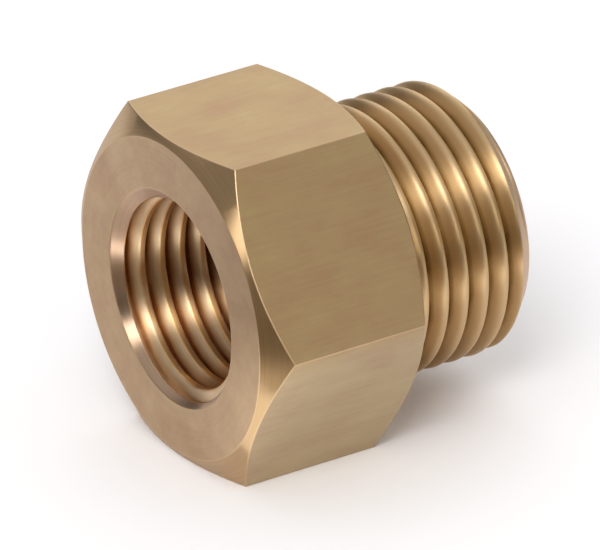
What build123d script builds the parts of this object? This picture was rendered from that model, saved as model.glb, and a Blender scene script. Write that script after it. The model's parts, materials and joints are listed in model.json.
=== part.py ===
from build123d import *
import os
from math import cos, radians, tan

# Thread adapter: a hexagon with an internal thread in its front face and a round spigot
# with an external thread behind it, turned in one piece from drawn hexagon bar.
#
# The axis of both threads is X. The mouth of the internal thread faces -X, and the spigot
# points to +X. The shoulder, which a sealing washer seats on, is the plane X = 0, and the
# part lies on one flat of its hexagon, with Z up. Both threads are ISO metric, fine
# pitch. Each is drawn as the smooth cylinder that its crests touch.

# Hexagon
across_flats = 22.0
hexagon_length = 12.5
front_chamfer_inset = 0.45  # how far the circle on the front face lies inside the flats
back_chamfer_inset = 1.1  # the same on the shoulder
hexagon_chamfer_angle = 30.0  # between the chamfer and the end face

# External thread, M18 x 1.5
external_crest_diameter = 17.95
external_pitch = 1.5
spigot_length = 9.5
lead_in_undercut = 0.35  # how far the end chamfer reaches below the root of the thread

# Internal thread, M14 x 1.5
internal_thread_diameter = 14.0
internal_pitch = 1.5
internal_hole_depth = 12.0  # full-width hole, measured from the front face
mouth_clearance = 0.22  # how far the countersink opens beyond the thread, on the radius
countersink_angle = 90.0

# Waterway behind the internal thread
waterway_diameter = 10.0
drill_point_angle = 118.0
waterway_chamfer = 0.4

# Proportions of the ISO metric thread form, as shares of the pitch
external_thread_depth = 0.6134
internal_thread_depth = 0.5413

# Sizes that follow from the ones above
corner_radius = across_flats / 2 / cos(radians(30))
chamfer_slope = tan(radians(hexagon_chamfer_angle))
front_circle_radius = across_flats / 2 - front_chamfer_inset
back_circle_radius = across_flats / 2 - back_chamfer_inset
cones_meet_radius = (front_circle_radius + back_circle_radius + hexagon_length / chamfer_slope) / 2
cones_meet_at = -(cones_meet_radius - back_circle_radius) * chamfer_slope

spigot_radius = external_crest_diameter / 2
spigot_chamfer = external_thread_depth * external_pitch + lead_in_undercut

mouth_radius = internal_thread_diameter / 2 + mouth_clearance
internal_crest_radius = internal_thread_diameter / 2 - internal_thread_depth * internal_pitch
countersink_depth = (mouth_radius - internal_crest_radius) / tan(radians(countersink_angle / 2))
waterway_radius = waterway_diameter / 2
drill_point_depth = (internal_crest_radius - waterway_radius) / tan(radians(drill_point_angle / 2))

front_face = -hexagon_length
hole_bottom = front_face + internal_hole_depth

with BuildPart() as adapter:
    # Hexagon bar, cut to length between the front face and the shoulder
    with BuildSketch(Plane.YZ.offset(front_face)):
        RegularPolygon(radius=corner_radius, side_count=6)
    extrude(amount=hexagon_length)

    # Both ends turned to a cone, which leaves a circle on each face and a curve on each flat.
    # The two cones meet outside the corners of the bar.
    with BuildSketch(Plane.XZ):
        with BuildLine():
            Polyline(
                (front_face, 0),
                (front_face, front_circle_radius),
                (cones_meet_at, cones_meet_radius),
                (0, back_circle_radius),
                (0, 0),
                close=True,
            )
        make_face()
    revolve(axis=Axis.X, mode=Mode.INTERSECT)

    # Spigot of the external thread, with a lead-in chamfer at its end
    with BuildSketch(Plane.XZ):
        with BuildLine():
            Polyline(
                (0, 0),
                (0, spigot_radius),
                (spigot_length - spigot_chamfer, spigot_radius),
                (spigot_length, spigot_radius - spigot_chamfer),
                (spigot_length, 0),
                close=True,
            )
        make_face()
    revolve(axis=Axis.X)

    # Stepped hole: countersunk mouth, tapped hole, drill point and waterway
    with BuildSketch(Plane.XZ):
        with BuildLine():
            Polyline(
                (front_face, 0),
                (front_face, mouth_radius),
                (front_face + countersink_depth, internal_crest_radius),
                (hole_bottom, internal_crest_radius),
                (hole_bottom + drill_point_depth, waterway_radius),
                (spigot_length - waterway_chamfer, waterway_radius),
                (spigot_length, waterway_radius + waterway_chamfer),
                (spigot_length, 0),
                close=True,
            )
        make_face()
    revolve(axis=Axis.X, mode=Mode.SUBTRACT)

adapter.part.label = "thread_adapter"

os.makedirs("parts", exist_ok=True)
export_step(adapter.part, "parts/thread_adapter.step")

print("countersink depth", round(countersink_depth, 3))
print("internal crest radius", round(internal_crest_radius, 3))
print("drill point depth", round(drill_point_depth, 3))
print("spigot chamfer", round(spigot_chamfer, 3))
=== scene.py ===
# %% [markdown]
# A brass thread adapter. The real part is turned from one length of hexagon bar: an internal
# thread opens in the front face of the hexagon, and an external thread stands on a round
# spigot behind it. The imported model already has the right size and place, with a smooth
# cylinder where each thread is. This lesson builds the same part once more with real
# helical threads, rounded edges and the finish of turned and drawn brass.

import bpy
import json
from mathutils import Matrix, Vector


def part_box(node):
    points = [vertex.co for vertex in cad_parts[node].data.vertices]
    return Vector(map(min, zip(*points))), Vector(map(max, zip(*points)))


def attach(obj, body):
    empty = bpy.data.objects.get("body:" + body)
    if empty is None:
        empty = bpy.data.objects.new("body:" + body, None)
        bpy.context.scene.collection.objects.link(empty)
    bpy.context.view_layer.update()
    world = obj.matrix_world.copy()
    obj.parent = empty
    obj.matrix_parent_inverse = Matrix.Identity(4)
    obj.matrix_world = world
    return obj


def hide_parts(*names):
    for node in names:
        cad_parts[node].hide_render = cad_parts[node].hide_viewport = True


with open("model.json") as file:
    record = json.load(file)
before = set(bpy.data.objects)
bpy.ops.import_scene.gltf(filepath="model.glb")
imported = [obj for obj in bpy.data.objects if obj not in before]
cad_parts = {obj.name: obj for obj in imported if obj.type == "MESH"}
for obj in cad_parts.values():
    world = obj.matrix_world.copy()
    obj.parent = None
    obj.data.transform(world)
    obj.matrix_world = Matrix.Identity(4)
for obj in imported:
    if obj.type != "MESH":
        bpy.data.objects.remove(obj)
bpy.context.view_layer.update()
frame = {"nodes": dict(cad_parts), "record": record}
print("packed nodes:", sorted(frame["nodes"]))

# %% [markdown]
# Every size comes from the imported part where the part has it. The box gives the width across
# flats and both end planes. The mounts give the radius of the crests of each thread, the
# length of each wall and the bore of the waterway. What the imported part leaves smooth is
# stated here in millimetres: the pitch, the depth and the rounding of the threads.

# %% Sizes
import json
import math
from types import SimpleNamespace

import bmesh
import bpy
from mathutils import Matrix, Vector

MM = 0.001
low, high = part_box("thread_adapter")
mounts = {m["name"]: m["dims"] for m in frame["record"]["mounts"] if m["dims"]}

front_x = low.x
end_x = high.x
half_flats = high.z
external_crest = mounts["external_thread"]["r_mm"] * MM
external_wall = mounts["external_thread"]["length_mm"] * MM
internal_crest = mounts["internal_thread"]["r_mm"] * MM
internal_wall = mounts["internal_thread"]["length_mm"] * MM
waterway = mounts["waterway"]["r_mm"] * MM
waterway_wall = mounts["waterway"]["length_mm"] * MM
print("millimetres: front", round(front_x / MM, 2), "end", round(end_x / MM, 2))
print("across flats", round(2 * half_flats / MM, 2))

# %% [markdown]
# The hexagon's end chamfers leave a circle on each face, a little inside the flats. The
# countersink runs from the mouth to the crests of the internal thread at 45 degrees, and the
# end of the spigot has the same slope. A drill leaves a cone at the bottom of the hole.

# %% Chamfers, countersink and hole
front_chamfer_inset, back_chamfer_inset = 0.45 * MM, 1.1 * MM
front_circle = half_flats - front_chamfer_inset
back_circle = half_flats - back_chamfer_inset
hexagon_chamfer_slope = math.tan(math.radians(30))

hole_depth = 12.0 * MM
hole_bottom = front_x + hole_depth
countersink_depth = hole_bottom - front_x - internal_wall
mouth = internal_crest + countersink_depth

spigot_chamfer = end_x - external_wall
end_circle = external_crest - spigot_chamfer

waterway_chamfer = 0.4 * MM
waterway_start = end_x - waterway_chamfer - waterway_wall
print("countersink from", round(mouth / MM, 2), "mm, depth", round(countersink_depth / MM, 2))

# %% [markdown]
# One function adds a node to any tree, geometry or shader. It changes the node's settings
# and fills its inputs, where a value can be a number, a socket or another node.

# %% Add a node
def add(tree, kind, inputs=None, **settings):
    node = tree.nodes.new(kind)
    for name, value in settings.items():
        setattr(node, name, value)
    for key, value in (inputs or {}).items():
        if isinstance(value, bpy.types.Node):
            value = value.outputs[0]
        if isinstance(value, bpy.types.NodeSocket):
            tree.links.new(value, node.inputs[key])
        else:
            node.inputs[key].default_value = value
    return node


# %% [markdown]
# The photograph was taken from the left and above with a long lens. Its place is given by
# two angles round the part, a slight roll, the distance, the focal length in pixels and the
# pixel where the centre of the shoulder shows.

# %% Camera
PHOTO_WIDTH, PHOTO_HEIGHT = 600, 550
azimuth = math.radians(-31.7)
elevation = math.radians(25.5)
roll = math.radians(-1.8)
focal_pixels = 11000
camera_distance = 697 * MM
shoulder_pixel = (337.3, 248.8)


def camera_axes(azimuth, elevation, roll):
    back = Vector((
        math.sin(azimuth) * math.cos(elevation),
        -math.cos(azimuth) * math.cos(elevation),
        math.sin(elevation),
    ))
    level = Vector((math.cos(azimuth), math.sin(azimuth), 0))
    steep = back.cross(level)
    right = math.cos(roll) * level + math.sin(roll) * steep
    return right, back.cross(right), back


def make_camera():
    right, up, back = camera_axes(azimuth, elevation, roll)
    per_pixel = camera_distance / focal_pixels
    beside = -(shoulder_pixel[0] - PHOTO_WIDTH / 2) * per_pixel
    above = (shoulder_pixel[1] - PHOTO_HEIGHT / 2) * per_pixel
    data = bpy.data.cameras.new("photo_camera")
    data.sensor_width = 36
    data.lens = focal_pixels * data.sensor_width / PHOTO_WIDTH
    data.clip_start, data.clip_end = 0.01, 20
    camera = bpy.data.objects.new("photo_camera", data)
    turn = Matrix((right, up, back)).transposed().to_4x4()
    place = right * beside + up * above + back * camera_distance
    camera.matrix_world = Matrix.Translation(place) @ turn
    bpy.context.collection.objects.link(camera)
    bpy.context.scene.camera = camera
    return camera


camera = make_camera()
print("camera at", [round(c, 3) for c in camera.matrix_world.translation])

# %% [markdown]
# Both threads are helical grooves, and both follow one rule, so one Geometry Nodes tree makes
# them. Sweeping a profile along a helix could make them too, but it leaves open ends and
# knows no chamfer. The tree bends a grid round the axis instead, and slides each column along
# by a share of the pitch, so that the rows of the grid run along the helix and the crests stay
# crisp. A row that would pass an end of the thread is held at that end, where the doubled
# points merge. The distance from the nearest crest then gives the depth of cut, and a cone
# cuts the crests down at the chamfer or countersink.

# %% The tree and its inputs
def thread_tree():
    tree = bpy.data.node_groups.new("helical_thread", "GeometryNodeTree")
    sockets = [
        ("Columns", "Int", 180),
        ("Rows per Turn", "Int", 24),
        ("Pitch", "Float", 1.5 * MM),
        ("Crest Radius", "Float", 9 * MM),
        ("Depth", "Float", 0.9 * MM),
        ("Crest Flat", "Float", 0.125),
        ("Flank Angle", "Float", 30.0),
        ("Crest Rounding", "Float", 0.5),
        ("Root Rounding", "Float", 0.2),
        ("Side", "Float", 1.0),
        ("Start", "Float", 0.0),
        ("End", "Float", 9 * MM),
        ("Crest Place", "Float", 0.0),
        ("Fade at Start", "Float", 0.0),
        ("Fade at End", "Float", 0.0),
        ("Cone Face", "Float", 9 * MM),
        ("Cone Radius", "Float", 8 * MM),
        ("Material", "Material", None),
        ("Cone Material", "Material", None),
    ]
    for name, kind, value in sockets:
        socket = tree.interface.new_socket(name, in_out="INPUT", socket_type="NodeSocket" + kind)
        if value is not None:
            socket.default_value = value
    tree.interface.new_socket("Geometry", in_out="OUTPUT", socket_type="NodeSocketGeometry")
    return tree


tree = helical_thread = thread_tree()
given = add(tree, "NodeGroupInput").outputs
print("thread inputs:", ", ".join(s.name for s in given if s.name))

# %% [markdown]
# The grid has one row of faces for each step along the helix and enough turns to pass both
# ends. Its X gives the turn and its Y the share of one revolution.

# %% Grid along the helix
length = add(tree, "ShaderNodeMath", {0: given["End"], 1: given["Start"]}, operation="SUBTRACT")
pitches = add(tree, "ShaderNodeMath", {0: length, 1: given["Pitch"]}, operation="DIVIDE")
full_turns = add(tree, "ShaderNodeMath", {0: pitches}, operation="CEIL")
turns = add(tree, "ShaderNodeMath", {0: full_turns, 1: 2.0}, operation="ADD")
rows = add(tree, "ShaderNodeMath", {0: turns, 1: given["Rows per Turn"]}, operation="MULTIPLY")
row_points = add(tree, "ShaderNodeMath", {0: rows, 1: 1.0}, operation="ADD")
column_points = add(tree, "ShaderNodeMath", {0: given["Columns"], 1: 1.0}, operation="ADD")
grid = add(
    tree,
    "GeometryNodeMeshGrid",
    {"Size X": 1.0, "Size Y": 1.0, "Vertices X": row_points, "Vertices Y": column_points},
)

before_start = add(
    tree,
    "ShaderNodeMath",
    {0: given["Start"], 1: given["Crest Place"]},
    operation="SUBTRACT",
)
start_turn = add(tree, "ShaderNodeMath", {0: before_start, 1: given["Pitch"]}, operation="DIVIDE")
whole_turn = add(tree, "ShaderNodeMath", {0: start_turn}, operation="FLOOR")
first_turn = add(tree, "ShaderNodeMath", {0: whole_turn, 1: 1.0}, operation="SUBTRACT")

place = add(tree, "GeometryNodeInputPosition")
share = add(tree, "ShaderNodeVectorMath", {0: place, 1: (0.5, 0.5, 0.0)}, operation="ADD")
split = add(tree, "ShaderNodeSeparateXYZ", {0: share})
along, around = split.outputs["X"], split.outputs["Y"]
print("grid nodes:", len(tree.nodes))

# %% [markdown]
# A point's place along the axis is its turn times the pitch, held between the two ends. Going
# back from that held place gives the distance to the nearest crest, counted in pitches.

# %% Place along the axis
turn_here = add(tree, "ShaderNodeMath", {0: along, 1: turns, 2: first_turn}, operation="MULTIPLY_ADD")
turn_and_share = add(tree, "ShaderNodeMath", {0: turn_here, 1: around}, operation="ADD")
helix_x = add(
    tree,
    "ShaderNodeMath",
    {0: turn_and_share, 1: given["Pitch"], 2: given["Crest Place"]},
    operation="MULTIPLY_ADD",
)
x = add(tree, "ShaderNodeClamp", {"Value": helix_x, "Min": given["Start"], "Max": given["End"]})

from_crest = add(tree, "ShaderNodeMath", {0: x, 1: given["Crest Place"]}, operation="SUBTRACT")
in_pitches = add(tree, "ShaderNodeMath", {0: from_crest, 1: given["Pitch"]}, operation="DIVIDE")
less_share = add(tree, "ShaderNodeMath", {0: in_pitches, 1: around}, operation="SUBTRACT")
wrapped = add(tree, "ShaderNodeMath", {0: less_share, 1: 0.5, 2: -0.5}, operation="WRAP")
off_crest = add(tree, "ShaderNodeMath", {0: wrapped}, operation="ABSOLUTE")
print("helix nodes:", len(tree.nodes))

# %% [markdown]
# The form of the thread: flat on the crest, then a straight flank at the flank angle, then
# the root. Smooth minimum and maximum round both corners, as a used tool does. The depth
# fades out towards an end where the tool leaves the metal.

# %% Depth of cut
half_crest = add(tree, "ShaderNodeMath", {0: given["Crest Flat"], 1: 0.5}, operation="MULTIPLY")
flank_angle = add(tree, "ShaderNodeMath", {0: given["Flank Angle"]}, operation="RADIANS")
flank_slope = add(tree, "ShaderNodeMath", {0: flank_angle}, operation="TANGENT")
flank_run = add(tree, "ShaderNodeMath", {0: given["Depth"], 1: flank_slope}, operation="MULTIPLY")
flank_width = add(tree, "ShaderNodeMath", {0: flank_run, 1: given["Pitch"]}, operation="DIVIDE")
down_flank = add(tree, "ShaderNodeMath", {0: off_crest, 1: half_crest}, operation="SUBTRACT")
flank = add(tree, "ShaderNodeMath", {0: down_flank, 1: flank_width}, operation="DIVIDE")
rooted = add(tree, "ShaderNodeMath", {0: flank, 1: 1.0, 2: given["Root Rounding"]}, operation="SMOOTH_MIN")
form = add(tree, "ShaderNodeMath", {0: rooted, 1: 0.0, 2: given["Crest Rounding"]}, operation="SMOOTH_MAX")

start_full = add(tree, "ShaderNodeMath", {0: given["Start"], 1: given["Fade at Start"]}, operation="ADD")
end_full = add(tree, "ShaderNodeMath", {0: given["End"], 1: given["Fade at End"]}, operation="SUBTRACT")
fade_in = add(
    tree,
    "ShaderNodeMapRange",
    {"Value": x, "From Min": given["Start"], "From Max": start_full},
    interpolation_type="SMOOTHSTEP",
)
fade_out = add(
    tree,
    "ShaderNodeMapRange",
    {"Value": x, "From Min": given["End"], "From Max": end_full},
    interpolation_type="SMOOTHSTEP",
)
fade = add(tree, "ShaderNodeMath", {0: fade_in, 1: fade_out}, operation="MULTIPLY")
faded_form = add(tree, "ShaderNodeMath", {0: form, 1: fade}, operation="MULTIPLY")
cut = add(tree, "ShaderNodeMath", {0: faded_form, 1: given["Depth"]}, operation="MULTIPLY")
print("form nodes:", len(tree.nodes))

# %% [markdown]
# Side is 1 for an external thread, where a cut makes the radius smaller, and -1 for an
# internal one, where it makes it larger. Multiplying every radius by it lets one minimum
# serve both, for the cut and for the 45 degree cone.

# %% Radius and position
crest = add(tree, "ShaderNodeMath", {0: given["Side"], 1: given["Crest Radius"]}, operation="MULTIPLY")
thread_radius = add(tree, "ShaderNodeMath", {0: crest, 1: cut}, operation="SUBTRACT")
cone_start = add(tree, "ShaderNodeMath", {0: given["Side"], 1: given["Cone Radius"]}, operation="MULTIPLY")
from_face = add(tree, "ShaderNodeMath", {0: x, 1: given["Cone Face"]}, operation="SUBTRACT")
cone_depth = add(tree, "ShaderNodeMath", {0: from_face}, operation="ABSOLUTE")
cone_radius = add(tree, "ShaderNodeMath", {0: cone_start, 1: cone_depth}, operation="ADD")
sided = add(tree, "ShaderNodeMath", {0: thread_radius, 1: cone_radius}, operation="MINIMUM")
radius = add(tree, "ShaderNodeMath", {0: sided, 1: given["Side"]}, operation="MULTIPLY")

angle = add(tree, "ShaderNodeMath", {0: around, 1: math.tau}, operation="MULTIPLY")
sine = add(tree, "ShaderNodeMath", {0: angle}, operation="SINE")
cosine = add(tree, "ShaderNodeMath", {0: angle}, operation="COSINE")
towards_left = add(tree, "ShaderNodeMath", {0: radius, 1: sine}, operation="MULTIPLY")
y = add(tree, "ShaderNodeMath", {0: towards_left, 1: -1.0}, operation="MULTIPLY")
z = add(tree, "ShaderNodeMath", {0: radius, 1: cosine}, operation="MULTIPLY")
point = add(tree, "ShaderNodeCombineXYZ", {"X": x, "Y": y, "Z": z})
print("radius nodes:", len(tree.nodes))

# %% [markdown]
# The finish needs to know how deep each point lies in its groove, and which faces are left of
# the cone. Both are stored on the flat grid, before it is bent, because the rule reads the
# positions of the grid. A face takes the finish of the cone if most of its corners lie on it.

# %% Store the groove, bend and finish
uncut = add(tree, "ShaderNodeMath", {0: crest, 1: cone_radius}, operation="MINIMUM")
below = add(tree, "ShaderNodeMath", {0: uncut, 1: sided}, operation="SUBTRACT")
groove = add(tree, "ShaderNodeMath", {0: below, 1: given["Depth"]}, operation="DIVIDE")
on_cone = add(tree, "ShaderNodeMath", {0: cone_radius, 1: thread_radius}, operation="LESS_THAN")
weld_distance = 0.001 * MM
most_corners = 0.7
with_groove = add(
    tree,
    "GeometryNodeStoreNamedAttribute",
    {"Geometry": grid.outputs["Mesh"], "Name": "groove", "Value": groove},
)
with_cone = add(
    tree,
    "GeometryNodeStoreNamedAttribute",
    {"Geometry": with_groove, "Name": "on_cone", "Value": on_cone},
)
bent = add(tree, "GeometryNodeSetPosition", {"Geometry": with_cone, "Position": point})
merged = add(tree, "GeometryNodeMergeByDistance", {"Geometry": bent, "Distance": weld_distance})
real = add(tree, "GeometryNodeRealizeInstances", {"Geometry": merged})
threaded = add(tree, "GeometryNodeSetMaterial", {"Geometry": real, "Material": given["Material"]})
cone_share = add(tree, "GeometryNodeInputNamedAttribute", {"Name": "on_cone"}).outputs["Attribute"]
mostly_cone = add(
    tree,
    "ShaderNodeMath",
    {0: cone_share, 1: most_corners},
    operation="GREATER_THAN",
)
finished = add(
    tree,
    "GeometryNodeSetMaterial",
    {"Geometry": threaded, "Selection": mostly_cone, "Material": given["Cone Material"]},
)
add(tree, "NodeGroupOutput", {"Geometry": finished})
print("thread tree:", len(tree.nodes), "nodes")

# %% [markdown]
# The tree runs as a modifier. Its inputs are set by their identifiers, and the evaluated
# result becomes a plain mesh.

# %% Run the tree
def run_tree(tree, name, values):
    made = bpy.data.objects.new(name, bpy.data.meshes.new(name))
    bpy.context.collection.objects.link(made)
    modifier = made.modifiers.new("thread", "NODES")
    modifier.node_group = tree
    identifiers = {s.name: s.identifier for s in tree.interface.items_tree if s.in_out == "INPUT"}
    for label, value in values.items():
        modifier[identifiers[label]] = value
    evaluated = made.evaluated_get(bpy.context.evaluated_depsgraph_get())
    mesh = bpy.data.meshes.new_from_object(evaluated)
    made.modifiers.remove(modifier)
    made.data = mesh
    print(name, len(mesh.vertices), "points", len(mesh.polygons), "faces")
    return made


# %% [markdown]
# Colours are written as sRGB hex values, as a colour picker gives them. Shaders work in linear
# light, so one function turns them over. A second function gives a colour ramp its stops, in
# rising order, each with its place and its colour.

# %% Colours
def linear(hex_colour):
    channels = [int(hex_colour[i:i + 2], 16) / 255 for i in (1, 3, 5)]
    lit = [c / 12.92 if c <= 0.04045 else ((c + 0.055) / 1.055) ** 2.4 for c in channels]
    return (*lit, 1.0)


def set_stops(ramp, stops):
    elements = ramp.color_ramp.elements
    for index, (position, hex_colour) in enumerate(stops):
        element = elements[index] if index < 2 else elements.new(position)
        element.position = position
        element.color = linear(hex_colour)


edge_colour = "#C0A27E"
print("rubbed edge in linear light:", [round(c, 3) for c in linear(edge_colour)])

# %% [markdown]
# Brass is a metal, so its colour lies in its reflection and its metallic value is 1. Every way
# of cutting it leaves fine marks in one direction, and a highlight spreads across them. That
# is anisotropy: the tangent runs along the marks, and the quarter turn spreads the light
# across. One function starts a brass with no pattern yet, and another gives it its colours and
# the shallow relief of its marks.

# %% Start and finish a brass
def start_brass(name, roughness, anisotropic):
    material = bpy.data.materials.new(name)
    material.use_nodes = True
    tree = material.node_tree
    tree.nodes.clear()
    settings = {
        "Metallic": 1.0,
        "Roughness": roughness,
        "Anisotropic": anisotropic,
        "Anisotropic Rotation": 0.25,
    }
    shader = add(tree, "ShaderNodeBsdfPrincipled", settings)
    add(tree, "ShaderNodeOutputMaterial", {"Surface": shader})
    place = add(tree, "ShaderNodeTexCoord").outputs["Object"]
    return SimpleNamespace(material=material, tree=tree, shader=shader, place=place)


def finish_brass(brass, colours, height, depth):
    tree = brass.tree
    relief = add(tree, "ShaderNodeBump", {"Height": height, "Strength": 0.5, "Distance": depth})
    tree.links.new(colours, brass.shader.inputs["Base Color"])
    tree.links.new(relief.outputs["Normal"], brass.shader.inputs["Normal"])
    print(brass.material.name, len(tree.nodes), "nodes")


# %% [markdown]
# Real brass is uneven in patches and lines of a certain size. A picture of brass could give
# them, but it would stretch over the bends, so noise is used, scaled to a size in millimetres.
# A tone then swings up and down with such a pattern, by a share of its own.

# %% Patterns of a real size
def pattern_of_size(brass, sizes, detail, roughness):
    scale = [1 / size for size in sizes]
    scaled = add(brass.tree, "ShaderNodeMapping", {"Vector": brass.place, "Scale": scale})
    return add(
        brass.tree,
        "ShaderNodeTexNoise",
        {"Vector": scaled, "Scale": 1.0, "Detail": detail, "Roughness": roughness},
    )


def swing(brass, middle, pattern, share):
    swung = add(
        brass.tree,
        "ShaderNodeMath",
        {0: pattern, 1: share, 2: -share / 2},
        operation="MULTIPLY_ADD",
    )
    return add(brass.tree, "ShaderNodeMath", {0: middle, 1: swung}, operation="ADD")


# %% [markdown]
# The flats keep the skin of the drawn bar. The die leaves fine lines along the bar, and years
# of handling leave broad smudges. The lines are about 0.05 mm wide on the real bar, and are
# drawn 0.16 mm wide here so that they show.

# %% Lines and smudges of the drawn bar
drawn = start_brass("drawn_brass", roughness=0.42, anisotropic=0.5)
lengthwise = add(drawn.tree, "ShaderNodeCombineXYZ", {"X": 1.0})
drawn.tree.links.new(lengthwise.outputs["Vector"], drawn.shader.inputs["Tangent"])

line_length, line_width = 4.0 * MM, 0.16 * MM
smudge_length, smudge_width = 4.5 * MM, 2.6 * MM
lines = pattern_of_size(drawn, (line_length, line_width, line_width), 3.0, 0.6)
smudges = pattern_of_size(drawn, (smudge_length, smudge_width, smudge_width), 5.0, 0.6)
lined = swing(drawn, middle=0.5, pattern=lines, share=0.3)
smudged = swing(drawn, middle=lined, pattern=smudges, share=0.6)
print("lines and smudges:", len(drawn.tree.nodes), "nodes")

# %% [markdown]
# The lower flats are painted paler and a little pink, a painted reflection of the lit floor beneath them,
# and the upper flats keep darker olive tones. Each has its own three tones, and the height blends one set
# into the other just below the axis.

# %% Drawn brass
upper_flat_tones = add(drawn.tree, "ShaderNodeValToRGB", {"Fac": smudged})
set_stops(upper_flat_tones, [(0.3, "#AF8A6A"), (0.5, "#B39871"), (0.7, "#B9A277")])
# Paler, pinker tones below the axis: a painted reflection of the lit floor.
lower_flat_painted_light = add(drawn.tree, "ShaderNodeValToRGB", {"Fac": smudged})
set_stops(lower_flat_painted_light, [(0.3, "#B1947B"), (0.5, "#B8A383"), (0.7, "#C0AD8A")])

# Heights where the painted floor reflection takes over from the upper tones.
upper_tones_above, painted_light_below = 0.5 * MM, -1.5 * MM
height = add(drawn.tree, "ShaderNodeSeparateXYZ", {0: drawn.place}).outputs["Z"]
lower = add(
    drawn.tree,
    "ShaderNodeMapRange",
    {"Value": height, "From Min": upper_tones_above, "From Max": painted_light_below},
)
flat_tones = add(drawn.tree, "ShaderNodeMix", {0: lower, 6: upper_flat_tones, 7: lower_flat_painted_light}, data_type="RGBA")
finish_brass(drawn, flat_tones.outputs[2], height=lines, depth=0.006 * MM)

# %% [markdown]
# On a turned surface every mark runs round the axis, so it keeps its distance from the axis
# on a face, a chamfer, a countersink and the flank of a thread alike. One coordinate serves
# them all: that distance, counted in widths of a mark, with a slow change round the part. The
# marks are drawn 0.12 to 0.14 mm wide, about twice as wide as real ones, so that they show.

# %% Marks round the axis
def marks_round_axis(brass, mark_width, changes_per_turn):
    tree = brass.tree
    along_marks = add(
        tree,
        "ShaderNodeVectorMath",
        {0: (1.0, 0.0, 0.0), 1: brass.place},
        operation="CROSS_PRODUCT",
    )
    tangent = add(tree, "ShaderNodeVectorMath", {0: along_marks}, operation="NORMALIZE")
    tree.links.new(tangent.outputs["Vector"], brass.shader.inputs["Tangent"])

    distance = add(tree, "ShaderNodeVectorMath", {0: along_marks}, operation="LENGTH").outputs["Value"]
    in_widths = add(tree, "ShaderNodeMath", {0: distance, 1: 1 / mark_width}, operation="MULTIPLY")
    changes = (changes_per_turn / math.tau,) * 3
    turned = add(tree, "ShaderNodeVectorMath", {0: tangent, 1: changes}, operation="MULTIPLY")
    around = add(tree, "ShaderNodeSeparateXYZ", {0: turned})
    coordinate = add(
        tree,
        "ShaderNodeCombineXYZ",
        {"X": in_widths, "Y": around.outputs["Y"], "Z": around.outputs["Z"]},
    )
    return add(
        tree,
        "ShaderNodeTexNoise",
        {"Vector": coordinate, "Scale": 1.0, "Detail": 3.0, "Roughness": 0.6},
    )


# %% [markdown]
# Facing the ends leaves rings so fine that the surface looks satin. It is mottled by touch and
# by the tray it lay in, more than the flats are.

# %% Faced brass
faced = start_brass("faced_brass", roughness=0.46, anisotropic=0.3)
rings = marks_round_axis(faced, mark_width=0.14 * MM, changes_per_turn=14.0)
mottle_size = 2.2 * MM
mottle = pattern_of_size(faced, (mottle_size,) * 3, 6.0, 0.65)
ringed = swing(faced, middle=0.5, pattern=rings, share=0.25)
mottled = swing(faced, middle=ringed, pattern=mottle, share=0.7)
face_tones = add(faced.tree, "ShaderNodeValToRGB", {"Fac": mottled})
set_stops(face_tones, [(0.3, "#AF8E74"), (0.5, "#B99D7D"), (0.7, "#C3A988")])
finish_brass(faced, face_tones.outputs["Color"], height=mottled, depth=0.008 * MM)

# %% [markdown]
# The chamfers, the countersink and the bore were cut last, with a sharp tool. They are
# brighter than the faces, and their marks pull each reflection into a band. The hexagon's
# chamfers have tarnished, and the other cuts are still fresh and a little pink. The distance
# from the axis tells the two apart.

# %% Turned brass
turned = start_brass("turned_brass", roughness=0.33, anisotropic=0.95)
marks = marks_round_axis(turned, mark_width=0.12 * MM, changes_per_turn=8.0)
fresh = add(turned.tree, "ShaderNodeValToRGB", {"Fac": marks})
set_stops(fresh, [(0.3, "#BA9C82"), (0.5, "#BFA187"), (0.7, "#C4A68D")])
tarnished = add(turned.tree, "ShaderNodeValToRGB", {"Fac": marks})
set_stops(tarnished, [(0.3, "#B2936C"), (0.5, "#B79871"), (0.7, "#BC9D76")])

across = add(
    turned.tree,
    "ShaderNodeVectorMath",
    {0: turned.place, 1: (0.0, 1.0, 1.0)},
    operation="MULTIPLY",
)
distance = add(turned.tree, "ShaderNodeVectorMath", {0: across}, operation="LENGTH").outputs["Value"]
outside = add(
    turned.tree,
    "ShaderNodeMath",
    {0: distance, 1: external_crest},
    operation="GREATER_THAN",
)
turned_tones = add(
    turned.tree,
    "ShaderNodeMix",
    {0: outside, 6: fresh, 7: tarnished},
    data_type="RGBA",
)
finish_brass(turned, turned_tones.outputs[2], height=marks, depth=0.002 * MM)

# %% [markdown]
# A thread is bright on its flanks and crests, where the tool and every nut before have rubbed
# it, and darkens to brown towards the root. That brown is partly oil and oxide, which stay in
# the root and take its gloss, and partly painted shade in the depth of the groove. The stored
# groove depth, 0 on the crest and 1 in the root, picks the colour and the roughness, and
# patches of tarnish shift the colour.

# %% Threaded brass
crest_roughness, root_roughness = 0.41, 0.62
dull_below = 0.3
patch_size = 2.5 * MM


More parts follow.
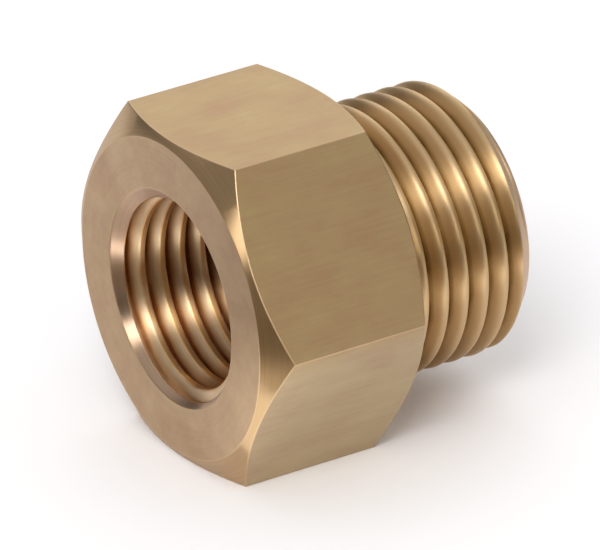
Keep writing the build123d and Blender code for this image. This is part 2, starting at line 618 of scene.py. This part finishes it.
def threaded_brass(name, tones):
    brass = start_brass(name, crest_roughness, anisotropic=0.92)
    marks = marks_round_axis(brass, mark_width=0.12 * MM, changes_per_turn=10.0)
    depth = add(brass.tree, "ShaderNodeAttribute", attribute_name="groove").outputs["Fac"]
    patches = pattern_of_size(brass, (patch_size,) * 3, 4.0, 0.5)
    patched = swing(brass, middle=depth, pattern=patches, share=0.5)
    marked = swing(brass, middle=patched, pattern=marks, share=0.3)
    # Colour by groove depth: oil and oxide in the root, and painted shade deeper in the groove.
    stain_and_painted_shade = add(brass.tree, "ShaderNodeValToRGB", {"Fac": marked})
    set_stops(stain_and_painted_shade, tones)
    dull = add(
        brass.tree,
        "ShaderNodeMapRange",
        {"Value": depth, "From Min": dull_below, "To Min": crest_roughness, "To Max": root_roughness},
    )
    brass.tree.links.new(dull.outputs["Result"], brass.shader.inputs["Roughness"])
    finish_brass(brass, stain_and_painted_shade.outputs["Color"], height=marks, depth=0.005 * MM)
    return brass.material


# Both tone lists darken towards the root, as oxide and painted shade.
external_brass = threaded_brass(
    "external_thread_brass",
    [(0.0, "#CDAE84"), (0.6, "#CBA877"), (0.86, "#AE8751"), (1.0, "#7C582C")],
)
internal_brass = threaded_brass(
    "internal_thread_brass",
    [(0.0, "#DDB07A"), (0.2, "#EBD3B0"), (0.66, "#D3A97A"), (1.0, "#87491F")],
)

# %% [markdown]
# Every edge of a real part is broken a little, and handling keeps it bright. The bevels get
# this finish. It is too narrow to show a pattern, so it has one colour.

# %% Rubbed edges
rubbed = start_brass("rubbed_brass", roughness=0.38, anisotropic=0.0)
rubbed.shader.inputs["Base Color"].default_value = linear(edge_colour)
print(rubbed.material.name, len(rubbed.tree.nodes), "nodes")

# %% [markdown]
# The external thread starts just clear of the shoulder and ends on the end chamfer, below
# the root. Its depth is the share of the pitch that the metric form has, and its crests are
# broad and round, as on the photographed part. The place of a crest on the grid's first
# column sets where the turns begin.

# %% External thread
pitch = 1.5 * MM
external_depth = 0.6134 * pitch
columns = 180
no_fade = 0.0001 * MM
thread_start = 0.2 * MM
thread_end = end_x - 0.25 * MM

shared = {
    "Columns": columns,
    "Pitch": pitch,
    "Flank Angle": 30.0,
    "Cone Material": turned.material,
}
external_thread = run_tree(helical_thread, "external_thread", {
    **shared,
    "Crest Radius": external_crest,
    "Depth": external_depth,
    "Crest Flat": 0.27,
    "Crest Rounding": 0.55,
    "Root Rounding": 0.08,
    "Side": 1.0,
    "Start": thread_start,
    "End": thread_end,
    "Crest Place": 0.53 * MM,
    "Fade at Start": 0.6 * MM,
    "Fade at End": no_fade,
    "Cone Face": end_x,
    "Cone Radius": end_circle,
    "Material": external_brass,
})

# %% [markdown]
# The internal thread starts on the countersink, above its root, and fades out at the bottom
# of the hole, where the tap can't cut its full depth. A tap leaves crisper crests than a
# worn lathe tool does.

# %% Internal thread
internal_depth = 0.5413 * pitch
mouth_start = front_x + 0.2 * MM

internal_thread = run_tree(helical_thread, "internal_thread", {
    **shared,
    "Crest Radius": internal_crest,
    "Depth": internal_depth,
    "Crest Flat": 0.25,
    "Crest Rounding": 0.12,
    "Root Rounding": 0.12,
    "Side": -1.0,
    "Start": mouth_start,
    "End": hole_bottom,
    "Crest Place": front_x + 0.67 * MM,
    "Fade at Start": no_fade,
    "Fade at End": 1.2 * MM,
    "Cone Face": front_x,
    "Cone Radius": mouth,
    "Material": internal_brass,
})

# %% [markdown]
# The rest of the surface is a skin between rings, each ring a place along the axis and a
# radius that can change with the angle. Cutting a hexagonal prism with cones could make it
# too. Rings are chosen because their points meet those of the threads one to one, so that the
# whole part closes without a seam.

# %% Skin between rings
finishes = [drawn.material, faced.material, turned.material, rubbed.material]
finishes += [external_brass, internal_brass]
DRAWN, FACED, TURNED, RUBBED = range(4)


def ring_skin(name, rings, materials):
    mesh = bpy.data.meshes.new(name)
    skin = bmesh.new()
    loops = []
    for ring in rings:
        loop = []
        for column in range(columns):
            angle = math.tau * column / columns
            x, radius = ring(angle)
            loop.append(skin.verts.new((x, -radius * math.sin(angle), radius * math.cos(angle))))
        loops.append(loop)
    for index, (one, two) in enumerate(zip(loops, loops[1:])):
        for a in range(columns):
            b = (a + 1) % columns
            face = skin.faces.new((one[a], one[b], two[b], two[a]))
            face.material_index = materials[index]
    skin.to_mesh(mesh)
    skin.free()
    made = bpy.data.objects.new(name, mesh)
    bpy.context.collection.objects.link(made)
    print(name, len(mesh.polygons), "faces")
    return made


# %% [markdown]
# A plane circle keeps its place and radius all the way round. A ring on the flats has the
# distance from the axis to the flat at each angle, and the cone that the lathe cuts pushes it
# back by its slope. That gives the curve which ends each flat, pushed back most at the corners.

# %% Circles and curves
def circle(x, radius):
    return lambda angle: (x, radius)


def to_flat(angle):
    sixth = math.radians(60)
    return half_flats / math.cos((angle + sixth / 2) % sixth - sixth / 2)


def front_curve(angle):
    radius = to_flat(angle)
    return front_x + (radius - front_circle) * hexagon_chamfer_slope, radius


def back_curve(angle):
    radius = to_flat(angle)
    return -(radius - back_circle) * hexagon_chamfer_slope, radius


print("across corners", round(2 * to_flat(math.radians(30)) / MM, 2))

# %% [markdown]
# Two skins are left to make. One runs from the start of the internal thread over the
# countersink, the front face, the flats and the shoulder to the external thread. The other
# runs from the end of that thread round the end of the spigot and back through the waterway.

# %% Hexagon and spigot end
hexagon = ring_skin("hexagon", [
    circle(mouth_start, mouth - (mouth_start - front_x)),
    circle(front_x, mouth),
    circle(front_x, front_circle),
    front_curve,
    back_curve,
    circle(0.0, back_circle),
    circle(0.0, external_crest),
    circle(thread_start, external_crest),
], [TURNED, FACED, TURNED, DRAWN, TURNED, FACED, TURNED])
spigot_end = ring_skin("spigot_end", [
    circle(thread_end, end_circle + (end_x - thread_end)),
    circle(end_x, end_circle),
    circle(end_x, waterway + waterway_chamfer),
    circle(end_x - waterway_chamfer, waterway),
    circle(waterway_start, waterway),
    circle(hole_bottom, internal_crest),
], [TURNED, FACED, TURNED, TURNED, TURNED])

# %% [markdown]
# No edge of the real part is sharp: deburring breaks each by a few hundredths of a
# millimetre, and the narrow band catches the light. More rings could draw these bands, but a
# bevel modifier finds every edge that turns by more than 20 degrees by itself, and gives it
# the rubbed finish. The threads keep their own rounding.

# %% Broken edges
edge_width = 0.06 * MM
for skin in (hexagon, spigot_end):
    for finish in finishes:
        skin.data.materials.append(finish)
    bevel = skin.modifiers.new("edges", "BEVEL")
    bevel.width = edge_width
    bevel.segments = 3
    bevel.material = RUBBED
    bevel.limit_method = "ANGLE"
    bevel.angle_limit = math.radians(20)
print("edges broken by", round(edge_width / MM, 2), "mm")

# %% [markdown]
# The real adapter is one piece of metal, so the two skins and the two threads become one
# mesh. Their end rings lie in the same places, and points closer than the weld distance
# become one. If every edge then has two faces, the surface is closed.

# %% Join the skins
def join_skins(name, skins):
    graph = bpy.context.evaluated_depsgraph_get()
    whole = bmesh.new()
    for skin in skins:
        mesh = bpy.data.meshes.new_from_object(skin.evaluated_get(graph))
        own = [finishes.index(finish) if finish else None for finish in mesh.materials]
        first = len(whole.faces)
        whole.from_mesh(mesh)
        whole.faces.ensure_lookup_table()
        for face in whole.faces[first:]:
            face.material_index = own[face.material_index]
            face.smooth = True
        bpy.data.objects.remove(skin)
    bmesh.ops.remove_doubles(whole, verts=whole.verts, dist=weld_distance)
    bmesh.ops.recalc_face_normals(whole, faces=whole.faces)
    open_edges = [e for e in whole.edges if len(e.link_faces) != 2]
    print("edges without two faces:", len(open_edges))
    mesh = bpy.data.meshes.new(name)
    whole.to_mesh(mesh)
    whole.free()
    for finish in finishes:
        mesh.materials.append(finish)
    made = bpy.data.objects.new(name, mesh)
    bpy.context.collection.objects.link(made)
    return made


# %% [markdown]
# Large faces should look flat right up to their bevels. Weighted normals do that: they let
# each large face set the shading of the narrow ones beside it. The piece then takes the place
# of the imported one.

# %% Finished adapter
adapter = join_skins("finished_adapter", [hexagon, external_thread, spigot_end, internal_thread])
weighted = adapter.modifiers.new("flat_shading_on_flats", "WEIGHTED_NORMAL")
weighted.keep_sharp = True
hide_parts("thread_adapter")
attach(adapter, "root")
print(len(adapter.data.polygons), "faces")

# %% [markdown]
# The photograph has a plain white ground, so the floor is a wide sheet of matt white paper,
# without gloss. It also fills the undersides of the part with light, and the lower flat and
# the front face mirror it.

# %% Floor
def make_floor():
    half_width = 3.0
    corners = [(-1, -1), (1, -1), (1, 1), (-1, 1)]
    mesh = bpy.data.meshes.new("floor")
    mesh.from_pydata([(x * half_width, y * half_width, low.z) for x, y in corners], [], [(0, 1, 2, 3)])
    floor = bpy.data.objects.new("floor", mesh)
    bpy.context.collection.objects.link(floor)
    card = bpy.data.materials.new("white_card")
    card.use_nodes = True
    card.node_tree.nodes.clear()
    paper = {"Base Color": linear("#FBFAFC"), "Roughness": 0.9, "Specular IOR Level": 0.0}
    shader = add(card.node_tree, "ShaderNodeBsdfPrincipled", paper)
    add(card.node_tree, "ShaderNodeOutputMaterial", {"Surface": shader})
    mesh.materials.append(card)


make_floor()
print("floor at", round(low.z / MM, 2), "mm")

# %% [markdown]
# The white ground of the photograph ends just in front of the picture. The metal mirrors its
# bright edge and the dark table beyond, one above the other, on both threads, the countersink
# and the lowest chamfer. Glowing sheets that are no lamps paint these reflections. A picture of
# a studio could light the part the same way, but flat sheets can be set one by one. This
# function lays one on the floor, between two distances in front of the axis and two places
# beside it. Only reflections see the sheets, so the floor stays plain from every side, and a
# small gap keeps them from flickering with it.

# %% One sheet in front
card_turn = math.radians(-47)
away = Vector((-math.sin(card_turn), math.cos(card_turn), 0))
beside = Vector((math.cos(card_turn), math.sin(card_turn), 0))
above_floor = Vector((0, 0, low.z + 0.05 * MM))


def lay_sheet(name, depths, sides, colour, glow):
    (near, far), (left, right) = depths, sides
    places = [(-far, left), (-far, right), (-near, right), (-near, left)]
    corners = [above_floor + away * depth + beside * side for depth, side in places]
    mesh = bpy.data.meshes.new(name)
    mesh.from_pydata(corners, [], [(0, 1, 2, 3)])
    sheet = bpy.data.objects.new(name, mesh)
    bpy.context.collection.objects.link(sheet)
    sheet.visible_camera = sheet.visible_diffuse = sheet.visible_shadow = False
    material = bpy.data.materials.new(name)
    material.use_nodes = True
    material.node_tree.nodes.clear()
    # The sheet glows though it is no lamp: it paints a reflection, lit or shaded.
    lit = add(material.node_tree, "ShaderNodeEmission", {"Color": linear(colour), "Strength": glow})
    add(material.node_tree, "ShaderNodeOutputMaterial", {"Surface": lit})
    mesh.materials.append(material)


# %% [markdown]
# The card lies turned, with its edge about a hand's width long. Five sheets stand for what the
# metal mirrors: the bright edge of the card, its brighter left corner, the table in the light
# of the lamps, the darker table behind that, and a dark place to the left of the card. All five
# are painted reflections that glow without being lamps: the bright ones are painted light, and
# the dark table and the dark place are painted shade.

# %% Sheets in front
WHITE, TABLE = "#FFFFFF", "#F4E6D4"
card_edge, table_edge, shade_edge, table_end = 15 * MM, 24 * MM, 34 * MM, 400 * MM
card_side, card_corner, card_width = -21 * MM, -14 * MM, 60 * MM
corner_edge, dark_edge = 18.5 * MM, 9 * MM
whole_table = (-table_end, table_end)
# Bright sheets paint reflected light on the card; the dark table and dark corner paint reflected shade.
lay_sheet("bright_edge", (card_edge, table_edge), (card_corner, card_width), WHITE, glow=1.9)
lay_sheet("bright_corner", (corner_edge, table_edge), (card_side, card_corner), WHITE, glow=4.8)
lay_sheet("lit_table", (table_edge, shade_edge), whole_table, TABLE, glow=0.55)
lay_sheet("dark_table", (shade_edge, table_end), whole_table, TABLE, glow=0.3)
lay_sheet("dark_corner", (dark_edge, table_edge), (-card_width, card_side), TABLE, glow=0.3)
print("the table starts", round(table_edge / MM, 1), "mm in front of the axis")

# %% [markdown]
# Satin metal shows its lights as soft patches, so each light is a large sheet and its
# brightness is set as the metal will mirror it. A direction points from the part to the
# light, and all sizes are in metres.

# %% One softbox
def softbox(name, direction, distance, size, brightness, colour="#FFFFFF", upright=(0, 0, 1)):
    towards = Vector(direction).normalized()
    level = Vector(upright).cross(towards).normalized()
    width, height = size
    data = bpy.data.lights.new(name, "AREA")
    data.shape = "RECTANGLE"
    data.size, data.size_y = width, height
    data.energy = brightness * math.pi * width * height
    data.color = linear(colour)[:3]
    light = bpy.data.objects.new(name, data)
    turn = Matrix((level, towards.cross(level), towards)).transposed().to_4x4()
    light.matrix_world = Matrix.Translation(towards * distance) @ turn
    bpy.context.collection.objects.link(light)


# %% [markdown]
# The bands across both threads and the countersink lie halfway between the camera and the
# key, so they place it. A weaker strip on the left whitens the countersink. It lies between
# the direction that the countersink mirrors there and the one that the thread's flanks
# mirror, and its length runs from one to the other. The back sheet is what the top flat
# mirrors, and the low front sheet lights the floor under the lower flat.

# %% Softboxes
over_countersink = Vector((-0.865, -0.258, 0.432))
over_flanks = Vector((-0.986, 0.122, 0.111))
softbox("key_softbox", (-0.51, -0.54, 0.67), distance=0.8, size=(0.3, 0.3), brightness=9.5)
softbox(
    "left_strip",
    over_countersink + over_flanks,
    distance=0.8,
    size=(0.18, 0.55),
    brightness=3.4,
    upright=over_countersink - over_flanks,
)
softbox("back_sheet", (0.45, 0.8, 0.42), distance=1.0, size=(1.0, 0.9), brightness=0.95)
softbox(
    "front_sheet",
    (0.05, -0.95, 0.3),
    distance=1.0,
    size=(0.8, 0.4),
    brightness=1.88,
    colour="#FFF8E4",
)
print("softboxes:", len(bpy.data.lights))

# %% [markdown]
# The room is dark at the height of the table and light towards the ceiling. Curved metal
# mirrors that dark band beside the bright floor, which gives the threads their contrast. The
# height of a direction is 0 level with the part and 1 straight above it.

# %% Room
dark_up_to, light_from = 0.17, 0.72
ceiling_glow = 0.86


def light_room():
    world = bpy.data.worlds.new("studio_room")
    bpy.context.scene.world = world
    world.use_nodes = True
    tree = world.node_tree
    tree.nodes.clear()
    direction = add(tree, "ShaderNodeTexCoord").outputs["Generated"]
    height = add(tree, "ShaderNodeSeparateXYZ", {0: direction}).outputs["Z"]
    glow = add(
        tree,
        "ShaderNodeMapRange",
        {"Value": height, "From Min": dark_up_to, "From Max": light_from, "To Max": ceiling_glow},
        interpolation_type="SMOOTHSTEP",
    )
    room = add(tree, "ShaderNodeBackground", {"Color": (1, 1, 1, 1), "Strength": glow})
    add(tree, "ShaderNodeOutputWorld", {"Surface": room})


light_room()
bpy.context.scene.view_settings.view_transform = "Standard"
print("view transform:", bpy.context.scene.view_settings.view_transform)
